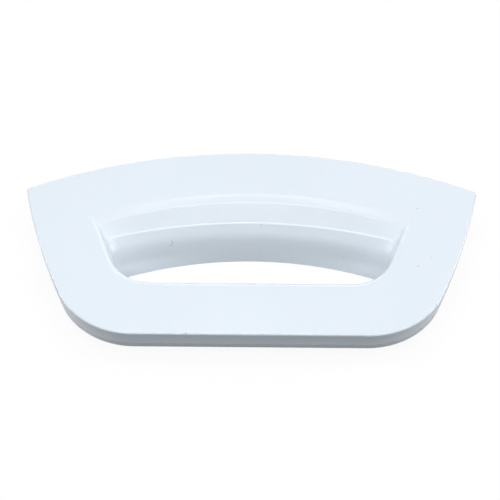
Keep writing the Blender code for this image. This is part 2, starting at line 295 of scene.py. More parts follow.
@dataclass
class SectionLines:
    """The closed section lines that the moulding is lofted from."""

    sizes: HandleSizes
    steps: Steps = field(default_factory=Steps)

    def row_point(self, point: Vector, depth: float) -> Vector:
        """A plan point at a depth below the face, in the part's frame.

        Args:
            point: The plan point.
            depth: Its depth below the face.

        Returns:
            The point, with its heights a hair less than the solid's, to leave room for the grit.
        """
        s = self.sizes
        height = (s.foot.depth - depth) * (1 - s.room_for_grit / s.foot.depth)
        return Vector((point.x, point.y - s.plan_depth / 2, height))

    def side_centre(self) -> Vector:
        """Centre of the right side's bow.

        Returns:
            Its plan point, from the near end, the tip and the radius.
        """
        s = self.sizes
        tip_y = s.plan_depth - s.ring_radius + math.sqrt(s.ring_radius**2 - s.tip_half_width**2)
        near = Vector((s.near_half_width, 0.0))
        chord = Vector((s.tip_half_width, tip_y)) - near
        inward = Vector((-chord.y, chord.x)).normalized()
        return near + chord / 2 + inward * math.sqrt(s.side_radius**2 - chord.length_squared / 4)

    def tip_centre(self, inset: float) -> Vector:
        """Centre of the small round where the side meets the far arc.

        Args:
            inset: How far the outline is moved in.

        Returns:
            Its plan point, a radius inside both arcs.
        """
        s = self.sizes
        ring, side = Vector((0.0, s.plan_depth - s.ring_radius)), self.side_centre()
        ring_reach = s.ring_radius - inset - s.tip_round
        side_reach = s.side_radius - inset - s.tip_round
        between = side - ring
        unit = between.normalized()
        along = (between.length_squared + ring_reach**2 - side_reach**2) / (2 * between.length)
        aside = math.sqrt(ring_reach**2 - along**2) * Vector((-unit.y, unit.x))
        middle = ring + along * unit
        return max(middle + aside, middle - aside, key=lambda point: point.x)

    def rim(self, inset: float) -> Section:
        """Right half of the face's outline, moved in.

        Args:
            inset: How far the outline is moved in.

        Returns:
            Plan points from the near edge's middle round to the far arc's middle.
        """
        s, n = self.sizes, self.steps
        ring, side = Vector((0.0, s.plan_depth - s.ring_radius)), self.side_centre()
        reach = (s.side_radius - s.near_corner_radius) ** 2 - (s.near_corner_radius - side.y) ** 2
        corner = Vector((side.x + math.sqrt(reach), s.near_corner_radius))
        tip = self.tip_centre(inset)
        corner_end, tip_start, tip_end = angle_of(corner - side), angle_of(tip - side), angle_of(tip - ring)

        points = stretch(Vector((0.0, inset)), Vector((corner.x, inset)), n.near)
        points += plan_arc(corner, s.near_corner_radius - inset, -math.pi / 2, corner_end, n.corner)[:-1]
        points += plan_arc(side, s.side_radius - inset, corner_end, tip_start, n.side)[:-1]
        points += plan_arc(tip, s.tip_round, tip_start, tip_end, n.far_corner)[:-1]
        return points + plan_arc(ring, s.ring_radius - inset, tip_end, math.pi / 2, n.far_arc)

    def opening_side(self, spread: float) -> tuple[Vector, Vector, Vector]:
        """Start on the near edge's line, direction and outward normal of the opening's right side.

        Args:
            spread: How far the side is moved out.

        Returns:
            The three as plan vectors.
        """
        s = self.sizes
        up = Vector((math.sin(s.opening_splay), math.cos(s.opening_splay)))
        outward = Vector((up.y, -up.x))
        return Vector((s.opening_near_half_width, s.grip_width)) + outward * spread, up, outward

    def opening(self, spread: float, crease: Crease, ledge: float = 0.0) -> Section:
        """Right half of the opening's outline.

        Args:
            spread: How far the near edge and the side are moved out.
            crease: Arc of the far side.
            ledge: How far the side comes in again.

        Returns:
            Plan points from the near edge's middle round to the far side's middle.
        """
        s, n = self.sizes, self.steps
        start, up, outward = self.opening_side(spread - ledge)
        far = Vector((0.0, crease.top - crease.radius))
        far_corner = along_to_circle(start - outward * crease.corner, up, far, crease.radius - crease.corner)
        side_angle, corner_end = angle_of(outward), angle_of(far_corner - far)

        side_length = (far_corner - start).dot(up)
        largest = s.corner_share_of_side * side_length / math.tan((math.pi / 2 + side_angle) / 2)
        near_y, near_radius = s.grip_width - spread, min(s.opening_corner_radius + spread, largest)
        inner = start - outward * near_radius
        near_corner = inner + up * (near_y + near_radius - inner.y) / up.y

        points = stretch(Vector((0.0, near_y)), Vector((near_corner.x, near_y)), n.near)
        points += plan_arc(near_corner, near_radius, -math.pi / 2, side_angle, n.corner)[:-1]
        points += stretch(near_corner + outward * near_radius, far_corner + outward * crease.corner, n.side)
        points += plan_arc(far_corner, crease.corner, side_angle, corner_end, n.far_corner)[:-1]
        return points + plan_arc(far, crease.radius, corner_end, math.pi / 2, n.far_arc)

    def closed(self, outline: Section, depth_at: Callable[[int, Vector], float]) -> Section:
        """A whole section line from an outline's right half.

        Args:
            outline: Plan points of the right half.
            depth_at: Gives the depth of a point from its index and place.

        Returns:
            Points in the part's frame, right half first.
        """
        right = [self.row_point(point, depth_at(i, point)) for i, point in enumerate(outline)]
        left = [Vector((-point.x, point.y, point.z)) for point in reversed(right[1:-1])]
        return right + left

    def level(self, outline: Section, depth: float) -> Section:
        """A whole section line that lies level."""
        return self.closed(outline, lambda index, point: depth)

    def far_share(self, index: int) -> float:
        """0 on the near edge and the side, rising over the far corner to 1 on the far arc."""
        into_corner = index - (self.steps.near + self.steps.corner + self.steps.side)
        return eased(into_corner / self.steps.far_corner)

    def wall_foot(self, y: float) -> float:
        """Depth of the opening's wall at this distance from the near edge.

        Args:
            y: The distance.

        Returns:
            The depth of the wall's foot.
        """
        s = self.sizes
        share = min(max((y - s.deepen_from) / s.deepen_over, 0.0), 1.0)
        return mix(s.skirt_depth, s.foot.depth, share)

    def skirt(self) -> list[Section]:
        """Sections up the skirt's outside, over the face's rounded edge and just onto the face.

        Returns:
            The sections of the foot's round, the parting line and the face's round, and one on the face.
        """
        s, n = self.sizes, self.steps

        def inset_at(depth: float) -> float:
            """How far the draft has moved the skirt in at this depth."""
            return max(depth - s.face_edge_round, 0.0) * math.tan(s.skirt_draft)

        foot_inset = inset_at(s.skirt_depth)
        loops = []
        for i in range(n.edge // 2 + 1):
            turn = math.pi / 2 * i / (n.edge // 2)
            inset = foot_inset + s.foot_edge_round * (1 - math.sin(turn))
            depth = s.skirt_depth - s.foot_edge_round * (1 - math.cos(turn))
            loops.append(self.level(self.rim(inset), depth))
        for side in s.parting_profile:
            depth = s.parting_depth + side * s.parting_height
            proud = s.parting_proud if abs(side) < 1 else 0.0
            loops.append(self.level(self.rim(inset_at(depth) - proud), depth))
        for i in range(n.edge + 1):
            turn = math.pi / 2 * i / n.edge
            inset = s.face_edge_round * (1 - math.cos(turn))
            loops.append(self.level(self.rim(inset), s.face_edge_round * (1 - math.sin(turn))))
        loops.append(self.level(self.rim(s.face_edge_round * n.hold), 0.0))
        return loops

    def section(self, crease: Crease, wall: float = 0.0) -> Section:
        """A section of the opening at one depth of its far wall.

        Args:
            crease: The far wall's arc at this depth.
            wall: 0 on the wall's face, its thickness on its back.

        Returns:
            Points in the part's frame: level round the lip, and below it stretched to the wall's foot. The
            ledge runs out along the side, away from the far corner.
        """
        s = self.sizes
        lip_turn = math.acos(1 - min(crease.depth / s.lip_round, 1.0))
        lip_spread = s.lip_round * (1 - math.sin(lip_turn))
        spread = wall + lip_spread - crease.depth * math.tan(s.opening_draft)
        under_lip = max(crease.depth - s.lip_round, 0.0)
        far = replace(crease, corner=crease.corner + wall)
        plain = self.opening(spread, far)
        if not under_lip:
            return self.level(plain, crease.depth)
        stepped_share = min(under_lip / (s.shelf.depth - s.lip_round), 1.0)
        stepped = self.opening(spread, far, s.side_ledge * stepped_share)
        far_corner = stepped[self.steps.near + self.steps.corner + self.steps.side]
        outline = [a.lerp(b, eased(1 + (b.y - far_corner.y) / s.ledge_run)) for a, b in zip(plain, stepped)]
        down = under_lip / (s.foot.depth - s.lip_round)
        return self.closed(outline, lambda index, point: mix(s.lip_round, self.wall_foot(point.y), down))

    def back_creases(self) -> list[Crease]:
        """Creases of the far wall's back, one wall thickness behind its face, from the roof to the foot.

        Returns:
            One crease behind each of the far wall's, from the scoop to the foot.
        """
        s = self.sizes
        creases = (s.scoop, s.shelf, s.belly, s.sill, s.foot)
        face = [Vector((c.top, -c.depth)) for c in creases]
        runs = [(b - a).normalized() for a, b in pairwise(face)]
        behind = [Vector((-run.y, run.x)) for run in runs]

        def on_run(point: Vector, run: Vector, depth: float) -> Vector:
            """The point at this depth on the line through a point along a run."""
            return point + run * (-depth - point.y) / run.y

        back = [on_run(face[0] + s.wall * behind[0], runs[0], s.scoop.depth + s.wall)]
        for point, before, after in zip(face[1:-1], behind, behind[1:]):
            back.append(point + s.wall * (before + after) / (1 + before.dot(after)))
        back.append(on_run(face[-1] + s.wall * behind[-1], runs[-1], s.foot.depth))
        return [Crease(p.x, -p.y, c.radius + p.x - c.top, c.corner) for p, c in zip(back, creases)]

    def rounded(self, knots: Sequence[Crease]) -> list[Crease]:
        """Rounds the far wall's broken line across each of its inner turns.

        Args:
            knots: Turns of the line in order; the first and last stay as they are.

        Returns:
            The turns, every inner one replaced by those of its rounding.
        """
        out = [knots[0]]
        for before, at, after in zip(knots, knots[1:], knots[2:]):
            into, onward = at.towards(before, at.blend), at.towards(after, at.blend)
            out.append(at.towards(before, at.blend * self.steps.hold))
            for i in range(self.steps.blend + 1):
                share = i / self.steps.blend
                out.append(into.mixed(at, share).mixed(at.mixed(onward, share), share))
            out.append(at.towards(after, at.blend * self.steps.hold))
        return out + [knots[-1]]

    def softened(self, lines: Sequence[Section], reaches: Sequence[float]) -> list[Section]:
        """Rounds a run of sections across each of its inner lines.

        Args:
            lines: Sections in order; the first and last stay as they are.
            reaches: How far the rounding of each inner line reaches to its neighbours.

        Returns:
            The sections with every inner one replaced by the lines of its rounding.
        """
        steps = self.steps.blend // 2
        out = [lines[0]]
        for before, at, after, reach in zip(lines, lines[1:], lines[2:], reaches):
            for i in range(steps + 1):
                out.append([self.soft_point(b, a, c, reach, i / steps) for b, a, c in zip(before, at, after)])
        return out + [lines[-1]]

    def soft_point(self, before: Vector, at: Vector, after: Vector, reach: float, share: float) -> Vector:
        """A point of the curve that rounds one corner of a broken line.

        Args:
            before: End of the stretch that leads to the corner.
            at: The corner.
            after: End of the stretch that leads away from it.
            reach: How far the rounding reaches along both.
            share: 0 at the curve's start, 1 at its end.

        Returns:
            The point.
        """
        tiny, most = 1e-9, self.steps.nearest_half
        into = at + (before - at) * min(reach / max((before - at).length, tiny), most)
        out = at + (after - at) * min(reach / max((after - at).length, tiny), most)
        return into.lerp(at, share).lerp(at.lerp(out, share), share)

    def front(self) -> list[Section]:
        """Sections from the face over the lip and down the opening's wall to its foot.

        Returns:
            The sections, with extra ones between the last turn above the lip's foot and that foot.
        """
        s, n = self.sizes, self.steps
        face = replace(s.face_edge, top=s.face_edge.top + s.face_run * s.face_edge.blend)
        under = replace(s.shelf.mixed(s.belly, s.under_shelf_share), corner=s.under_shelf_corner)
        knots = [face, s.face_edge, s.scoop, s.shelf, under, s.belly, s.sill, s.foot]
        _, on_face, *turns = self.rounded(knots)
        last = max(i for i, turn in enumerate(turns) if turn.depth < s.lip_round)
        above, below = turns[: last + 1], turns[last + 1 :]
        to_lip = (s.lip_round - above[-1].depth) / (below[0].depth - above[-1].depth)
        extra = [above[-1].mixed(below[0], to_lip * i / n.lip) for i in range(1, n.lip + 1)]
        held = self.opening(s.lip_round * (n.hold + 1) / 2, on_face)
        return [self.level(held, 0.0)] + [self.section(turn) for turn in above + extra + below]

    def hollow(self) -> list[Section]:
        """Sections of the hollow back, from the foot of the opening's wall to the skirt's foot.

        Returns:
            The sections, with the inner ones rounded.
        """
        s = self.sizes
        roof, *creases = self.back_creases()
        roof_crease = Crease(roof.top, roof.depth, roof.radius, roof.corner + s.wall)

        def roof_depth(index: int, point: Vector) -> float:
            """The roof's depth, which follows the scoop on the far side."""
            return s.wall + self.far_share(index) * s.scoop.depth

        foot_inset = (s.skirt_depth - s.face_edge_round) * math.tan(s.skirt_draft) + s.skirt_foot_wall
        lines = [self.section(crease, s.wall) for crease in reversed(creases)]
        lines.append(self.closed(self.opening(s.wall, roof_crease), roof_depth))
        lines.append(self.level(self.rim(s.wall), s.wall))
        lines.append(self.level(self.rim(foot_inset), s.skirt_depth))
        return self.softened(lines, [s.foot_edge_round] * 3 + [s.face_edge_round] * 2)


@dataclass
class Shell:
    """The moulding's shell, lofted round the finger opening."""

    lines: SectionLines
    weld: float = 1e-7

    def sections(self) -> list[Section]:
        """Every section line in order, round the frame's own section."""
        return self.lines.skirt() + self.lines.front() + self.lines.hollow()

    def extrude_to(self, mesh: bpy.types.Mesh, places: dict[int, int], section: Section) -> dict[int, int]:
        """Extrudes the selected line in edit mode and sets the new one on the next section.

        Args:
            mesh: The mesh in edit mode, with the last line selected.
            places: Place along the line of each of its points, by the point's index.
            section: Where the new line goes.

        Returns:
            Place along the new line of each of its points, which are left selected.
        """
        bpy.ops.mesh.extrude_edges_move()
        bm = bmesh.from_edit_mesh(mesh)
        bm.verts.index_update()
        moved = {}
        for vertex in (v for v in bm.verts if v.select):
            before = next(e.other_vert(vertex) for e in vertex.link_edges if not e.other_vert(vertex).select)
            moved[vertex.index] = places[before.index]
            vertex.co = section[places[before.index]]
        bmesh.update_edit_mesh(mesh)
        return moved

    def build(self) -> bpy.types.Object:
        """Lofts the shell.

        Returns:
            The shell as one closed mesh with its faces pointing out, in triangles, which are all flat.
        """
        deselect()
        sections = self.sections()
        bpy.ops.mesh.primitive_circle_add(vertices=len(sections[0]), radius=self.lines.sizes.near_half_width)
        shell = bpy.context.object
        shell.name = shell.data.name = "handle_moulding"
        for vertex, point in zip(shell.data.vertices, sections[0]):
            vertex.co = point
        with editing():
            bpy.ops.mesh.select_mode(type="EDGE")
            bpy.ops.mesh.select_all(action="SELECT")
            places = {i: i for i in range(len(sections[0]))}
            for section in sections[1:] + sections[:1]:
                places = self.extrude_to(shell.data, places, section)
            bpy.ops.mesh.select_all(action="SELECT")
            bpy.ops.mesh.remove_doubles(threshold=self.weld)
            bpy.ops.mesh.normals_make_consistent(inside=False)
            bpy.ops.mesh.quads_convert_to_tris(quad_method="SHORTEST_DIAGONAL")
            bpy.ops.mesh.select_mode(type="VERT")
        return shell


@dataclass
class BackStructure:
    """Ribs, gussets, fins, screw posts and ejector marks on the hidden side.

    The posts are turned a little, so that none of their flats' corners lies in the plane of a fin.
    """

    lines: SectionLines
    rib_wall: float = 0.0015
    rib_draft: float = math.radians(0.8)
    rib_recess: float = 0.0010
    rib_edge_round: float = 0.0002
    grip_rib_pitch: float = 0.0165
    pocket_rib_pitch: float = 0.0165
    pocket_rib_pairs: int = 3
    side_rib_first: float = 0.0330
    side_rib_pitch: float = 0.0140
    side_ribs: int = 2
    post_radius: float = 0.0036
    post_edge_round: float = 0.0003
    post_turn: float = math.radians(2.5)
    pilot_radius: float = 0.0014
    pilot_depth: float = 0.0140
    pilot_lead: float = 0.0004
    posts: tuple[tuple[float, float], ...] = ((0.0580, 0.0180), (0.0770, 0.0610))
    fin_reach: float = 0.0066
    fin_foot_depth: float = 0.0140
    fin_end_depth: float = 0.0060
    mark_radius: float = 0.0020
    mark_depth: float = 0.00015
    round_sides: int = 48
    pilot_sides: int = 32
    mark_sides: int = 40
    marks: tuple[tuple[float, float], ...] = ((0.00825, 0.0080), (0.02475, 0.0160), (0.04125, 0.0080))
    far_marks: tuple[tuple[float, float], ...] = ((0.00825, 0.0850), (0.02475, 0.0820), (0.04125, 0.0800))
    bay_marks: tuple[tuple[float, float], ...] = ((0.0660, 0.0320), (0.0620, 0.0740))

    def plate(self, start: Vector, direction: Vector, profile: Profile) -> bpy.types.Object:
        """An upright plate with draft and softened edges.

        Args:
            start: Plan point from which the profile's distances are measured.
            direction: Unit plan vector along the plate.
            profile: (distance along, depth) points round the plate.

        Returns:
            The plate as a closed mesh.
        """
        deselect()
        bpy.ops.mesh.primitive_circle_add(vertices=len(profile), radius=self.fin_reach, fill_type="NGON")
        plate = bpy.context.object
        with editing():
            bpy.ops.mesh.extrude_region_move(TRANSFORM_OT_translate={"value": (0.0, 0.0, self.rib_wall)})
        aside = Vector((-direction.y, direction.x))
        top = min(depth for along, depth in profile)
        count = len(profile)
        for i, vertex in enumerate(plate.data.vertices):
            along, depth = profile[i % count]
            half = self.rib_wall / 2 - (depth - top) * math.tan(self.rib_draft)
            side = 1 if i < count else -1
            vertex.co = self.lines.row_point(start + direction * along + aside * half * side, depth)
        with editing():
            bpy.ops.mesh.normals_make_consistent(inside=False)
            bpy.ops.mesh.bevel(offset=self.rib_edge_round, segments=2, affect="EDGES")
        return plate

    def near_y(self, outline: Section, x: float) -> float:
        """Distance from the near edge at which an outline's near side passes x.

        Args:
            outline: Plan points of an outline's right half.
            x: Where the near side is read.

        Returns:
            The distance.
        """
        run = outline[: self.lines.steps.near + self.lines.steps.corner + 1]
        before, after = next(pair for pair in pairwise(run) if pair[0].x <= x <= pair[1].x)
        return mix(before.y, after.y, (x - before.x) / (after.x - before.x))

    def grip_ribs(self) -> Iterable[bpy.types.Object]:
        """Cross ribs in the near bar, from the skirt to the opening's wall.

        Returns:
            The ribs, one by one.
        """
        s = self.lines.sizes
        skirt, wall = self.lines.rim(s.wall / 2), self.lines.opening(s.wall / 2, s.shelf, s.side_ledge)
        pairs = int(s.opening_near_half_width / self.grip_rib_pitch)
        foot = s.skirt_depth - self.rib_recess
        for i in range(-pairs, pairs + 1):
            x = i * self.grip_rib_pitch
            near, far = self.near_y(skirt, abs(x)), self.near_y(wall, abs(x))
            profile = [(near, s.wall / 2), (far, s.wall / 2), (far, foot), (near, foot)]
            yield self.plate(Vector((x, 0.0)), Vector((0.0, 1.0)), profile)

    def pocket_ribs(self) -> Iterable[bpy.types.Object]:
        """Gussets from the skirt down the back of the pocket wall to its foot.

        Returns:
            The gussets, one by one.
        """
        s = self.lines.sizes
        faces = (s.scoop, s.shelf, s.belly, s.sill, s.foot)
        backs = self.lines.back_creases()

        def arc_y(top: float, radius: float, x: float) -> float:
            """Distance from the near edge at which an arc passes x."""
            return top - radius + math.sqrt(radius**2 - x**2)

        for i in range(-self.pocket_rib_pairs, self.pocket_rib_pairs + 1):
            x = i * self.pocket_rib_pitch
            profile = []
            for face, back in zip(faces, backs):
                y = mix(arc_y(face.top, face.radius, x), arc_y(back.top, back.radius, x), 0.5)
                profile.append((y, mix(face.depth, back.depth, 0.5)))
            profile[0] = (profile[0][0], s.scoop.depth + s.wall / 2)
            profile[-1] = (profile[-1][0], s.foot.depth - self.rib_recess)
            skirt_y = arc_y(s.plan_depth - s.wall / 2, s.ring_radius - s.wall / 2, x)
            profile += [(skirt_y, s.skirt_depth - self.rib_recess), (skirt_y, s.wall / 2)]
            yield self.plate(Vector((x, 0.0)), Vector((0.0, 1.0)), profile)

    def side_gussets(self) -> Iterable[bpy.types.Object]:
        """Gussets from the opening's sides to the skirt, square to the opening's side.

        Returns:
            The gussets, one by one, on both sides.
        """
        s = self.lines.sizes
        for i in range(self.side_ribs):
            start, up, outward = self.lines.opening_side(s.wall / 2)
            start = start + up * (self.side_rib_first + i * self.side_rib_pitch - start.y) / up.y
            centre = self.lines.side_centre()
            reach = (along_to_circle(start, outward, centre, s.side_radius - s.wall / 2) - start).length
            profile = [(0.0, s.wall / 2), (reach, s.wall / 2), (reach, s.skirt_depth - self.rib_recess)]
            profile.append((0.0, self.lines.wall_foot(start.y) - self.rib_recess))
            for side in (1, -1):
                direction = Vector((side * outward.x, outward.y))
                yield self.plate(Vector((side * start.x, start.y)), direction, profile)

    def post_places(self) -> list[Vector]:
        """Plan centres of the four screw posts."""
        return [Vector((side * x, y)) for x, y in self.posts for side in (1, -1)]

    def fins(self, direction: Vector) -> Iterable[bpy.types.Object]:
        """Fins that stiffen every post in one direction.

        Args:
            direction: Unit plan vector along the fins.

        Returns:
            The fins, one by one.
        """
        roof = self.lines.sizes.wall / 2
        reach, tip = self.fin_reach, self.post_radius / 2
        profile = [(-reach, roof), (reach, roof), (reach, self.fin_end_depth)]
        profile += [(tip, self.fin_foot_depth), (-tip, self.fin_foot_depth), (-reach, self.fin_end_depth)]
        for place in self.post_places():
            yield self.plate(place, direction, profile)

    def post(self) -> bpy.types.Object:
        """One screw post at the origin: a rod with a softened foot.

        Returns:
            The post.
        """
        s = self.lines.sizes
        height = s.foot.depth - s.wall / 2
        deselect()
        bpy.ops.mesh.primitive_cylinder_add(
            vertices=self.round_sides,
            radius=self.post_radius,
            depth=height,
            location=(0.0, 0.0, height / 2),
            rotation=(0.0, 0.0, self.post_turn),
        )
        bpy.ops.object.transform_apply()
        post = bpy.context.object
        with editing():
            bpy.ops.mesh.select_mode(type="FACE")
            bpy.ops.mesh.select_all(action="DESELECT")
            bm = bmesh.from_edit_mesh(post.data)
            lowest = min(bm.faces, key=lambda face: face.normal.z)
            lowest.select = True
            bmesh.update_edit_mesh(post.data)
            bpy.ops.mesh.bevel(offset=self.post_edge_round, segments=3, affect="EDGES")
            bpy.ops.mesh.select_mode(type="VERT")
        return post

    def pilot(self) -> bpy.types.Object:
        """Cutter for one pilot hole at the origin, with a conical lead-in for the screw.

        Returns:
            The cutter.
        """
        deselect()
        bpy.ops.mesh.primitive_circle_add(
            vertices=self.pilot_sides,
            radius=self.pilot_radius + 2 * self.pilot_lead,
            fill_type="NGON",
            location=(0.0, 0.0, -self.pilot_lead),
            rotation=(0.0, 0.0, self.post_turn),
        )
        bpy.ops.object.transform_apply()
        pilot = bpy.context.object
        shrink = self.pilot_radius / (self.pilot_radius + 2 * self.pilot_lead)
        lead, rest = 2 * self.pilot_lead, self.pilot_depth - self.pilot_lead
        with editing():
            bpy.ops.mesh.extrude_region_move(TRANSFORM_OT_translate={"value": (0.0, 0.0, lead)})
            bpy.ops.transform.resize(value=(shrink, shrink, 1.0), center_override=(0.0, 0.0, lead / 2))
            bpy.ops.mesh.extrude_region_move(TRANSFORM_OT_translate={"value": (0.0, 0.0, rest)})
            bpy.ops.mesh.select_all(action="SELECT")
            bpy.ops.mesh.normals_make_consistent(inside=False)
        return pilot

    def at_posts(self, first: bpy.types.Object, name: str) -> bpy.types.Object:
        """Copies a piece that stands at the origin to the place of every post.

        Args:
            first: The piece, which is used up.
            name: Name of the result.

        Returns:
            The copies as one mesh.
        """
        copies = []
        for place in self.post_places():
            copy = first.copy()
            copy.data = first.data.copy()
            copy.data.transform(Matrix.Translation((place.x, place.y - self.lines.sizes.plan_depth / 2, 0.0)))
            bpy.context.scene.collection.objects.link(copy)
            copies.append(copy)
        bpy.data.objects.remove(first, do_unlink=True)
        return joined(name, copies)

    def ejector_marks(self) -> bpy.types.Object:
        """Cutter for the shallow round marks that ejector pins leave inside the hollow.

        Returns:
            The cutters of all marks as one mesh.
        """
        s = self.lines.sizes
        roof_z = s.foot.depth - s.wall
        tools = []
        for x, y in self.marks + self.far_marks + self.bay_marks:
            for side in (1, -1):
                deselect()
                bpy.ops.mesh.primitive_cylinder_add(
                    vertices=self.mark_sides,
                    radius=self.mark_radius,
                    depth=2 * self.mark_depth,
                    location=(side * x, y - s.plan_depth / 2, roof_z),
                )
                bpy.ops.object.transform_apply()
                tools.append(bpy.context.object)
        return joined("ejector_marks", tools)

    def add_to(self, shell: bpy.types.Object) -> None:
        """Joins the whole back structure to the shell.

        Args:
            shell: The shell, which is changed.
        """
        combine(shell, self.ejector_marks(), Operation.CUT)
        sets = {
            "grip_ribs": self.grip_ribs(),
            "pocket_ribs": self.pocket_ribs(),
            "side_gussets": self.side_gussets(),
            "fins_across": self.fins(Vector((1.0, 0.0))),
            "fins_along": self.fins(Vector((0.0, 1.0))),
        }
        for name, plates in sets.items():
            combine(shell, joined(name, list(plates)), Operation.JOIN)
            LOG.info("joined %s", name)
        combine(shell, self.at_posts(self.post(), "screw_posts"), Operation.JOIN)
        combine(shell, self.at_posts(self.pilot(), "pilot_holes"), Operation.CUT)


def linear(hex_colour: str) -> tuple[float, float, float, float]:
    """An sRGB hex colour as linear RGBA.

    Args:
        hex_colour: Six hex digits.

    Returns:
        Linear red, green, blue and an alpha of 1.
    """
    channels = (int(hex_colour[i : i + 2], 16) / 255 for i in (0, 2, 4))
    red, green, blue = (c / 12.92 if c <= 0.04045 else ((c + 0.055) / 1.055) ** 2.4 for c in channels)
    return red, green, blue, 1.0


def add_node(
    tree: bpy.types.NodeTree,
    kind: str,
    settings: dict[str, object] | None = None,
    inputs: dict[str, object] | None = None,
) -> bpy.types.Node:
    """Adds a node with its settings, values and links.

    Args:
        tree: The node tree.
        kind: Blender's type name of the node.
        settings: Values of the node's own properties.
        inputs: A value or an output socket for each named input.

    Returns:
        The new node.
    """
    node = tree.nodes.new(kind)
    for name, value in (settings or {}).items():
        setattr(node, name, value)
    for name, value in (inputs or {}).items():
        socket = node.inputs[int(name)] if name.isdigit() else node.inputs[name]
        if isinstance(value, bpy.types.NodeSocket):
            tree.links.new(value, socket)
        else:
            socket.default_value = value
    return node


@dataclass
class Canvas:
    """A new material with its shader and the object's own coordinates.

    Attributes:
        name: Name of the material.
        constants: Values of the shader's own sockets.
        material: The material.
        tree: Its node tree.
        shader: The tree's shader.
        place: The object's own coordinates.
    """

    name: str
    constants: dict[str, float]
    material: bpy.types.Material = field(init=False)
    tree: bpy.types.NodeTree = field(init=False)
    shader: bpy.types.Node = field(init=False)
    place: bpy.types.NodeSocket = field(init=False)

    def __post_init__(self) -> None:
        """Makes the material and sets the shader's constants."""
        self.material = bpy.data.materials.new(self.name)
        self.material.use_nodes = True
        self.tree = self.material.node_tree
        self.shader = self.tree.nodes["Principled BSDF"]
        for socket, value in self.constants.items():
            self.shader.inputs[socket].default_value = value
        self.place = add_node(self.tree, "ShaderNodeTexCoord").outputs["Object"]

    def tones(self, share: bpy.types.NodeSocket, first: str, second: str) -> None:
        """Colours the shader between two tones.

        Args:
            share: 0 for the first tone, 1 for the second.
            first: sRGB hex colour.
            second: sRGB hex colour.
        """
        both = {"Factor": share, "6": linear(first), "7": linear(second)}
        colour = add_node(self.tree, "ShaderNodeMix", {"data_type": "RGBA"}, both)
        self.tree.links.new(colour.outputs[2], self.shader.inputs["Base Color"])


@dataclass(frozen=True)
class GlossMouldedAbs:
    """White ABS from a polished mould: smooth and glossy, with a cool white body colour.

    The polish leaves only a faint ripple, so reflections of the studio's lamps stay nearly sharp, and
    handling gives the gloss a slight unevenness.
    """

    body: str = "E1EAF2"
    thicker_flow: str = "DDE6EF"
    roughness: float = 0.17
    handled_roughness: float = 0.24
    flow_mm: float = 45.0
    ripple_mm: float = 3.5
    ripple_height_mm: float = 0.0012
    handling_mm: float = 14.0
    handling_low: float = 0.35
    handling_high: float = 0.75
    refraction: float = 1.52

    def make(self) -> bpy.types.Material:
        """Builds the material.

        Returns:
            The material.
        """
        canvas = Canvas("gloss_moulded_abs", {"IOR": self.refraction, "Metallic": 0.0})
        tree, shader = canvas.tree, canvas.shader
        scales = {
            "flow": (self.flow_mm, 1.0),
            "handling": (self.handling_mm, 4.0),
            "ripple": (self.ripple_mm, 1.0),
        }
        noise = {}
        for name, (size_mm, detail) in scales.items():
            values = {"Vector": canvas.place, "Scale": 1000 / size_mm, "Detail": detail}
            noise[name] = add_node(tree, "ShaderNodeTexNoise", inputs=values).outputs["Fac"]
        canvas.tones(noise["flow"], self.body, self.thicker_flow)
        stops = {"From Min": self.handling_low, "From Max": self.handling_high, "Value": noise["handling"]}
        gloss = {"To Min": self.roughness, "To Max": self.handled_roughness}
        handled = add_node(tree, "ShaderNodeMapRange", inputs=stops | gloss)
        tree.links.new(handled.outputs["Result"], shader.inputs["Roughness"])
        height = {"Height": noise["ripple"], "Distance": self.ripple_height_mm / 1000, "Strength": 1.0}
        ripple = add_node(tree, "ShaderNodeBump", inputs=height)
        tree.links.new(ripple.outputs["Normal"], shader.inputs["Normal"])
        return canvas.material


@dataclass(frozen=True)
class HouseholdGrit:
    """Dry grit and lint from a laundry room: matt and grey-brown, no two grains alike.

    Against white plastic the eye sees only small dark dots, so colour matters more than surface.
    """

    pale: str = "6A6560"
    dark: str = "2C2A28"
    grain_mm: float = 0.25
    spread_low: float = 0.35
    spread_high: float = 0.65
    roughness: float = 0.9

    def make(self) -> bpy.types.Material:
        """Builds the material.

        Returns:
            The material.
        """
        canvas = Canvas("household_grit", {"Roughness": self.roughness})
        values = {"Vector": canvas.place, "Scale": 1000 / self.grain_mm, "Detail": 2.0}
        grain = add_node(canvas.tree, "ShaderNodeTexNoise", inputs=values).outputs["Fac"]
        stops = {"From Min": self.spread_low, "From Max": self.spread_high, "Value": grain}
        share = add_node(canvas.tree, "ShaderNodeMapRange", inputs=stops).outputs["Result"]
        canvas.tones(share, self.dark, self.pale)
        return canvas.material


@dataclass(frozen=True)
class HairKeratin:
    """A short dark hair: smooth keratin, faintly glossy along its length."""

    root: str = "4A4541"
    tip: str = "6F6861"
    length_mm: float = 3.0
    roughness: float = 0.45
    refraction: float = 1.55

    def make(self) -> bpy.types.Material:
        """Builds the material.

        Returns:
            The material.
        """
        canvas = Canvas("hair_keratin", {"Roughness": self.roughness, "IOR": self.refraction})
        values = {"Vector": canvas.place, "Scale": 1000 / self.length_mm, "Detail": 1.0}
        tone = add_node(canvas.tree, "ShaderNodeTexNoise", inputs=values).outputs["Fac"]
        canvas.tones(tone, self.root, self.tip)
        return canvas.material


